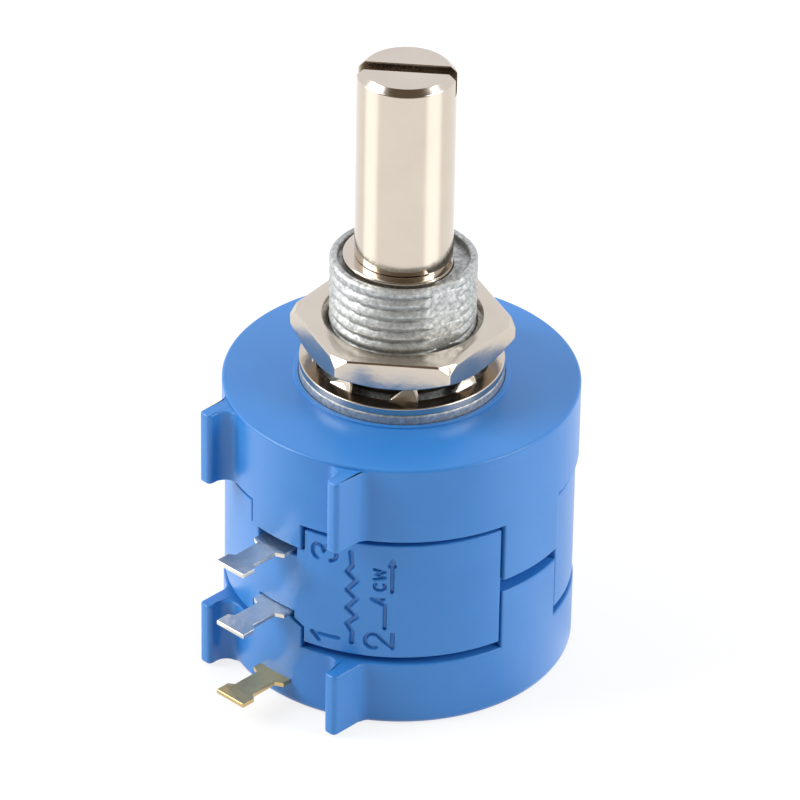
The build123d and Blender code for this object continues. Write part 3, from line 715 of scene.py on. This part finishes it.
def terminal(top, inner_y):
    """A stamped lug: its half width runs straight from each place to the next, carried by a flat
    section with rounded edges, and both shrink over the last 0.05 mm to round its end."""
    y = np.unique(np.concatenate([np.linspace(inner_y, 14.6, 60), np.linspace(14.6, LUG_TIP, 8),
                                  np.linspace(11.3, 11.7, 10), np.linspace(13.5, 13.85, 10)]))
    half = np.interp(y, LUG_PLACES, LUG_HALVES)
    shrink = ease(LUG_TIP - y, 0.05)
    half, thick = half - shrink, np.full_like(y, PLATE / 2) - 0.6 * shrink
    corners = np.stack(
        [np.stack([half, thick], -1), np.stack([-half, thick], -1),
         np.stack([-half, -thick], -1), np.stack([half, -thick], -1)], axis=-2)
    section = soften(corners, 0.05, steps=3, closed=True)
    centre = top - PLATE / 2
    grid = np.stack([section[..., 0], np.broadcast_to(-y[:, None], section.shape[:-1]),
                     section[..., 1] + centre], axis=-1)
    return [sheet(grid, wrap_columns=True), fan(grid[0]), fan(grid[-1])]


for number, height, inner_y, slot, finish in (
    (1, TERMINAL_1_Z, 9.45, "tinned_brass", tin),
    (3, TERMINAL_3_Z, 9.45, "tinned_brass", tin),
    (2, TERMINAL_2_Z, 8.4, "gilded_brass", gilt),
):
    sheets = terminal(height, inner_y)
    make_piece(f"terminal_lug_{number}", sheets, "root", f"terminal_{number}", finish)


# ---------------- bushing, nut and washer
PITCH = 0.75
THREAD_R = 4.5
THREAD_TOP = 7.6
# The parting flats: their bearings and their distance from the axis
FLAT_BEARINGS = (78.8, 258.8)
FLAT_DISTANCE = 4.26
FLANGE_R = 6.3
# The counterbore for the spring ring: its radius and floor
COUNTERBORE = (4.0, 7.1)
# The nut: its faces, bore, half the width across its flats, and the bearing of one flat
NUT_SEAT, NUT_TOP = 1.653, 3.503
NUT_BORE = 4.55
NUT_HALF = 6.0
NUT_BEARING = 38.0
# The washer: the ring's radii and thickness, and its teeth
RING_R = (5.3, 6.3)
RING_THICK = 0.5
TEETH = 8


def bushing():
    """Threaded bushing, turned, with a helical groove: the groove's depth is a dip in the height's
    phase, which rises by one pitch a turn, and fades out at both ends. Two parting flats cut the
    thread and its land: there the radius is no more than the flat's distance over the cosine from
    its bearing."""
    bearings = np.linspace(0, 360, 361)
    rows = lines(0.02, THREAD_TOP - 0.15, 0.045)
    outline = soften(
        [(THREAD_R, THREAD_TOP - 0.15), (THREAD_R - 0.15, THREAD_TOP), (COUNTERBORE[0], THREAD_TOP),
         COUNTERBORE, (3.04, COUNTERBORE[1]), (3.04, -2.8), (6.0, -2.8), (6.0, CEILING_Z),
         (4.95, CEILING_Z), (4.95, FRONT_Z + 0.02), (FLANGE_R, FRONT_Z + 0.02), (FLANGE_R, 0.0),
         (THREAD_R, 0.0)],
        [0, 0.06, 0.15, 0.03, 0.04, 0.1, 0.1, 0.1, 0.05, 0.05, 0.08, 0.12, 0])
    b, z = np.meshgrid(bearings, rows, indexing="ij")
    phase = (z - 3.96) / PITCH - (b - VIEW_BEARING) / 360
    dip = np.abs(phase - np.round(phase))
    groove = 0.15 * (1 - np.clip(dip / 0.4, 0, 1)) + 0.1 * (1 - np.clip(dip / 0.1, 0, 1))
    fade = np.clip((z - 0.3) / 0.3, 0, 1) * np.clip((THREAD_TOP - 0.3 - z) / 0.2, 0, 1)
    thread = np.stack([THREAD_R - groove * fade, z], axis=-1)
    rest = np.broadcast_to(outline, (len(bearings),) + outline.shape).copy()
    for profile in (thread, rest):
        threaded = profile[..., 1] > 0.5
        for flat in FLAT_BEARINGS:
            cosine = np.cos(np.radians(bearings - flat))[:, None]
            limit = np.where(cosine > 0.9, FLAT_DISTANCE / np.maximum(cosine, 0.1), FAR)
            cut = np.minimum(profile[..., 0], limit)
            profile[..., 0] = np.where(threaded, cut, profile[..., 0])
    rest, thread = turned(rest, bearings), turned(thread, bearings)
    ends = [np.stack([rest[:, -1], thread[:, 0]], 1), np.stack([thread[:, -1], rest[:, 0]], 1)]
    return [sheet(rest), sheet(thread), sheet(ends[0]), sheet(ends[1])]


def panel_nut():
    """Hexagon nut: at each bearing the side stands where the hexagon does, and two cones cut the
    corners, so the chamfers meet each flat in a curve."""
    seat, top = NUT_SEAT, NUT_TOP
    bearings = np.linspace(0, 360, 721)
    from_flat = (bearings - NUT_BEARING + 30.0) % 60 - 30.0
    from_flat = np.sign(from_flat) * (30 - np.sqrt((30 - np.abs(from_flat)) ** 2 + 0.2))
    from_flat = 30 - np.abs(30 - np.abs(from_flat))
    side = NUT_HALF / np.cos(np.radians(from_flat))
    upper = np.minimum(top - 0.17, top - 0.67 * (side - 6.5) / 0.428)
    lower = np.maximum(seat + 0.03, seat + 0.6 * (side - NUT_HALF) / 0.928)
    brow = np.minimum(side - 0.1, 6.5)
    ones = np.ones_like(side)
    corners = [(NUT_BORE, seat), (NUT_HALF - 0.03, seat), (side, lower), (side, upper),
               (brow, top - 0.07), (brow - 0.4, top), (NUT_BORE + 0.4, top), (NUT_BORE, top - 0.4)]
    corners = np.stack([np.stack([across * ones, height * ones], axis=-1)
                        for across, height in corners], axis=-2)
    profile = soften(corners, [0.05, 0.05, 0.05, 0.04, 0.04, 0.1, 0.05, 0.05], closed=True)
    return [sheet(turned(profile, bearings), wrap_columns=True)]


def lock_washer():
    """Ring turned from a rounded rectangle, with inner teeth, each a rounded bar along the radius
    whose section twists from flat at the ring to 42 degrees at its tip, where it stands higher."""
    inner, outer = RING_R
    ring = soften([(inner, 0.0), (outer, 0.0), (outer, RING_THICK), (inner, RING_THICK)], 0.08,
                  closed=True)
    sheets = [sheet(turned(ring, np.linspace(0, 360, 241)), wrap_columns=True)]
    reach = np.linspace(5.5, 4.76, 12)
    share = np.clip((5.45 - reach) / 0.35, 0, 1)
    twist = np.radians(42.0) * (3 * share**2 - 2 * share**3)
    half, thick = 0.875, RING_THICK / 2
    section = [(half, thick), (-half, thick), (-half, -thick), (half, -thick)]
    section = soften(section, 0.07, closed=True)
    side = section[:, 0] * np.cos(twist)[:, None] - section[:, 1] * np.sin(twist)[:, None]
    lift = section[:, 0] * np.sin(twist)[:, None] + section[:, 1] * np.cos(twist)[:, None]
    lift = lift + (thick + share * (0.8415 - thick))[:, None]
    for index in range(TEETH):
        grid = np.stack([*swung(reach[:, None], side, 360 / TEETH * index), lift], axis=-1)
        sheets += [sheet(grid, wrap_columns=True), fan(grid[0]), fan(grid[-1])]
    return sheets


make_piece("bushing_casting", bushing(), "root", "bushing", zinc)
make_piece("hex_panel_nut", panel_nut(), "nut", "panel_nut", tumbled)
make_piece("toothed_washer", lock_washer(), "washer", "lock_washer", tumbled)


# ---------------- shaft and its ring
SHAFT_R = 3.0
SHAFT_TOP = 20.5
# Radius of the flat end, where the chamfer starts
END_R = 2.6
# The slot: the bearing it runs along, half its width, and its floor
SLOT_BEARING = 128.3
SLOT_HALF = 0.5
SLOT_FLOOR = 19.0
# The spring ring's groove: its radius, and the heights of its two sides
GROOVE_R = 2.6
GROOVE = (7.3, 7.8)


def half_outline(radius, wall, side):
    """Outline of one half of the slotted end at each level: an arc of the radius, then the slot's
    wall, which runs straight at its distance from the axis."""
    radius, wall = radius[:, None], wall[:, None]
    reach = np.pi / 2 - np.arcsin(wall / radius)
    angle = reach * np.linspace(-1, 1, 61)
    straight = np.sqrt(radius**2 - wall**2) * np.linspace(1, -1, 17)[1:-1]
    along = np.concatenate([radius * np.sin(angle), straight], axis=1)
    out = np.concatenate([radius * np.cos(angle), wall + 0 * straight], axis=1)
    return np.stack(swung(along, -out, SLOT_BEARING + side + 90), axis=-1)


def shaft():
    """Turned shaft up to the slot's floor, and two D-shaped halves above it: the outline's radius
    follows the chamfered profile upwards, and the slot's wall falls back at its rounded top edge.
    The slot's floor is one more sheet, whose ends lie on the shaft's circle."""
    corner = math.degrees(math.asin(SLOT_HALF / SHAFT_R))
    arc = np.linspace(corner, 180 - corner, 61)
    end_arc = np.linspace(-corner, corner, 9)[1:-1]
    half_turn = np.concatenate([arc, 180 + end_arc])
    bearings = SLOT_BEARING + np.concatenate([half_turn, half_turn + 180, arc[:1] + 360])
    low = soften([(0, -18.35), (2.0, -18.35), (2.0, -16.85), (2.5, -16.85), (2.5, -3.05),
                  (SHAFT_R, -3.05), (SHAFT_R, GROOVE[0]), (GROOVE_R, GROOVE[0]),
                  (GROOVE_R, GROOVE[1]), (SHAFT_R, GROOVE[1]), (SHAFT_R, SLOT_FLOOR)],
                 [0, 0.1, 0.05, 0.05, 0.05, 0.05, 0.03, 0.03, 0.03, 0.05, 0])
    sheets = [sheet(turned(low, bearings))]
    rise = soften([(SHAFT_R, SLOT_FLOOR), (SHAFT_R, 20.1), (END_R, SHAFT_TOP), (2.2, SHAFT_TOP)],
                  [0, 0.06, 0.06, 0])
    radius, height = rise[:, 0], rise[:, 1]
    wall = SLOT_HALF + np.where(radius < END_R, END_R - radius, ease(SHAFT_TOP - height, 0.08))
    for side in (0, 180):
        flat = half_outline(radius, wall, side)
        level = np.broadcast_to(height[:, None, None], flat.shape[:2] + (1,))
        grid = np.concatenate([flat, level], axis=-1)
        sheets += [sheet(grid, wrap_columns=True), fan(grid[-1])]
    across = np.radians(np.concatenate([[-corner], end_arc, [corner]]))[:, None]
    along = SHAFT_R * np.cos(across) * np.linspace(1, -1, 17)
    beside = SHAFT_R * np.sin(across) + 0 * along
    x, y = swung(beside, -along, SLOT_BEARING)
    sheets.append(sheet(np.stack([x, y, np.full_like(x, SLOT_FLOOR)], axis=-1)))
    return sheets


def retaining_ring():
    """Open spring ring: a rounded rectangle carried round nearly three quarters of the groove."""
    section = soften([(2.63, 7.33), (3.72, 7.33), (3.72, 7.77), (2.63, 7.77)],
                     [0.05, 0.08, 0.15, 0.05], closed=True)
    grid = turned(section, np.linspace(170, 434.5, 160))
    return [sheet(grid, wrap_columns=True), fan(grid[0]), fan(grid[-1])]


make_piece("slotted_shaft", shaft(), "rotor", "shaft", nickel)
make_piece("spring_ring", retaining_ring(), "rotor", "retaining_ring", nickel)

# ---------------- CAD nodes that keep their shape
kept_nodes = {
    "resistance_coil": wire, "end_tap_1": brass, "end_tap_3": brass, "collector_brush": brass,
    "thrust_washer": brass, "rotor_drum": inner_plastic, "contact_rod": brass, "slip_ring": brass,
    "wiper_carriage": inner_plastic, "wiper_contact": brass,
}
for node, finish in kept_nodes.items():
    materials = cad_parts[node].data.materials
    materials.clear()
    materials.append(finish)


# ---------------- floor, light and camera
def turn_about(axis, angle, vector):
    """Turns a vector about a unit axis: its part across the axis swings by the angle."""
    swing = np.cross(axis, vector)
    along = axis * axis.dot(vector)
    return vector * math.cos(angle) + swing * math.sin(angle) + along * (1 - math.cos(angle))


def bearing_vector(bearing, elevation):
    """Unit vector towards a bearing and an elevation, both in degrees."""
    b, e = math.radians(bearing), math.radians(elevation)
    return np.array([math.sin(b) * math.cos(e), -math.cos(b) * math.cos(e), math.sin(e)])


# The floor as metal mirrors it: its brightness, and the bearings of the painted streaks of lamp
# light on it
FLOOR_LEVEL = 1.14
PAINTED_STREAK_BEARINGS = (VIEW_BEARING - 86, VIEW_BEARING + 67)


def floor():
    """Pale floor: a square sheet, 6 m across, whose rows lie further apart outwards as the cube of
    their number. Metal mirrors it bright, with a painted streak of lamp light towards each lamp,
    which glows in the floor's emission."""
    reach = 3000 * np.linspace(-1, 1, 41) ** 3
    across, along = np.meshgrid(reach, reach, indexing="ij")
    points, faces = sheet(np.stack([across, along, np.full_like(across, REAR_Z - 0.01)], axis=-1))
    mesh = bpy.data.meshes.new("pale_floor")
    mesh.from_pydata((points * 0.001).tolist(), [], faces.tolist())
    ground = bpy.data.objects.new("pale_floor", mesh)
    bpy.context.scene.collection.objects.link(ground)
    finish, tree, place = new_finish("matt white paper sweep")
    path = add(tree, "ShaderNodeLightPath")
    flat = add(tree, "ShaderNodeVectorMath", {"operation": "MULTIPLY"}, {0: place, 1: (1, 1, 0)})
    flat = add(tree, "ShaderNodeVectorMath", {"operation": "NORMALIZE"}, {0: flat.outputs[0]})
    level = add(tree, "ShaderNodeValue").outputs[0]
    level.default_value = FLOOR_LEVEL
    # Painted light: the glow that metal mirrors is raised in a streak towards each lamp.
    for bearing in PAINTED_STREAK_BEARINGS:
        toward = bearing_vector(bearing, 0)
        along = add(tree, "ShaderNodeVectorMath", {"operation": "DOT_PRODUCT"},
                    {0: flat.outputs[0], 1: tuple(toward)})
        painted_streak = add(tree, "ShaderNodeMapRange", {"interpolation_type": "SMOOTHSTEP"},
                   {"Value": along.outputs["Value"], "From Min": 0.9, "From Max": 0.995,
                    "To Max": 0.78})
        level = add(tree, "ShaderNodeMath", {"operation": "ADD"},
                    {0: level, 1: painted_streak.outputs[0]}).outputs[0]
    level = add(tree, "ShaderNodeMix", {"data_type": "FLOAT"},
                {0: path.outputs["Is Camera Ray"], 2: level, 3: 1.08})
    seen = add(tree, "ShaderNodeMath", {"operation": "MAXIMUM"},
               {0: path.outputs["Is Camera Ray"], 1: path.outputs["Is Glossy Ray"]})
    paper = add(tree, "ShaderNodeBsdfDiffuse", None, {"Color": linear("#F2F1EE")})
    glow = add(tree, "ShaderNodeEmission", None,
               {"Color": (1, 1, 1, 1), "Strength": level.outputs[0]})
    share = add(tree, "ShaderNodeMath", {"operation": "MULTIPLY"}, {0: seen.outputs[0], 1: 0.75})
    both = add(tree, "ShaderNodeMixShader", None,
               {0: share.outputs[0], 1: paper.outputs[0], 2: glow.outputs[0]})
    add(tree, "ShaderNodeOutputMaterial", None, {"Surface": both.outputs[0]})
    mesh.materials.append(finish)


def studio_world():
    """Room light: bright behind the part, dimmer on the camera's side, with a dark brown patch high
    over the camera. Both shares follow the direction's part along a fixed vector."""
    world = bpy.data.worlds.new("studio room")
    bpy.context.scene.world = world
    world.use_nodes = True
    tree = world.node_tree
    tree.nodes.clear()
    place = add(tree, "ShaderNodeTexCoord").outputs["Generated"]
    shares = []
    for elevation, start, end in ((0, -0.2, 0.6), (60, 0.74, 0.91)):
        toward = bearing_vector(VIEW_BEARING, elevation)
        along = add(tree, "ShaderNodeVectorMath", {"operation": "DOT_PRODUCT"},
                    {0: place, 1: tuple(toward)})
        shares.append(add(tree, "ShaderNodeMapRange", {"interpolation_type": "SMOOTHSTEP"},
                          {"Value": along.outputs["Value"], "From Min": start, "From Max": end}))
    colour = add(tree, "ShaderNodeMix", {"data_type": "RGBA"},
                 {0: shares[0].outputs[0], 6: linear("#EEEFF4"), 7: linear("#807B74")})
    colour = add(tree, "ShaderNodeMix", {"data_type": "RGBA"},
                 {0: shares[1].outputs[0], 6: colour.outputs[2], 7: linear("#62574A")})
    room = add(tree, "ShaderNodeBackground", None, {"Color": colour.outputs[2], "Strength": 1.2})
    white = add(tree, "ShaderNodeBackground", None, {"Color": (1, 1, 1, 1), "Strength": 1.0})
    path = add(tree, "ShaderNodeLightPath")
    both = add(tree, "ShaderNodeMixShader", None,
               {0: path.outputs["Is Camera Ray"], 1: room.outputs[0], 2: white.outputs[0]})
    add(tree, "ShaderNodeOutputWorld", None, {"Surface": both.outputs[0]})


def stand(name, data, right, upward, back, place):
    """A lamp or camera at its place, which looks the other way from back."""
    holder = bpy.data.objects.new(name, data)
    matrix = np.eye(4)
    matrix[:3] = np.stack([right, upward, back, place], axis=-1)
    holder.matrix_world = Matrix(matrix.tolist())
    bpy.context.scene.collection.objects.link(holder)
    return holder


def softbox(name, bearing, elevation, power):
    """A lamp of 340 by 380 mm that faces the part from 600 mm away."""
    lamp = bpy.data.lights.new(name, "AREA")
    lamp.shape = "RECTANGLE"
    lamp.size, lamp.size_y = 0.34, 0.38
    lamp.energy = power
    away = bearing_vector(bearing, elevation)
    side = np.cross(np.array([0, 0, 1.0]), away)
    side /= np.linalg.norm(side)
    stand(name, lamp, side, np.cross(away, side), away, away * 0.6)


def place_camera():
    """Camera at the photograph's viewing angle: a long lens 386 mm from the front face's centre,
    with small turns for the photograph's framing. Its fitted focal length is 6316 pixels where the
    picture is 800 wide."""
    distance, elevation = 0.385957, 31.911
    yaw, pitch, roll = math.radians(0.011), math.radians(-0.263), math.radians(-1.013)
    away = bearing_vector(VIEW_BEARING, elevation)
    forward = -away
    right = bearing_vector(VIEW_BEARING + 90, 0)
    upward = np.cross(right, forward)
    forward, right = turn_about(upward, yaw, forward), turn_about(upward, yaw, right)
    forward, upward = turn_about(right, pitch, forward), turn_about(right, pitch, upward)
    right, upward = turn_about(forward, roll, right), turn_about(forward, roll, upward)
    lens = bpy.data.cameras.new("camera")
    lens.sensor_width, lens.lens = 36.0, 6315.96 * 36 / 800
    lens.clip_start, lens.clip_end = 0.01, 20
    place = away * distance + np.array([0, 0, FRONT_Z * 0.001])
    bpy.context.scene.camera = stand("camera", lens, right, upward, -forward, place)


floor()
studio_world()
softbox("left softbox", VIEW_BEARING - 86, 32, 3.0)
softbox("right softbox", VIEW_BEARING + 70, 30, 2.0)
place_camera()
bpy.context.scene.view_settings.view_transform = "Standard"
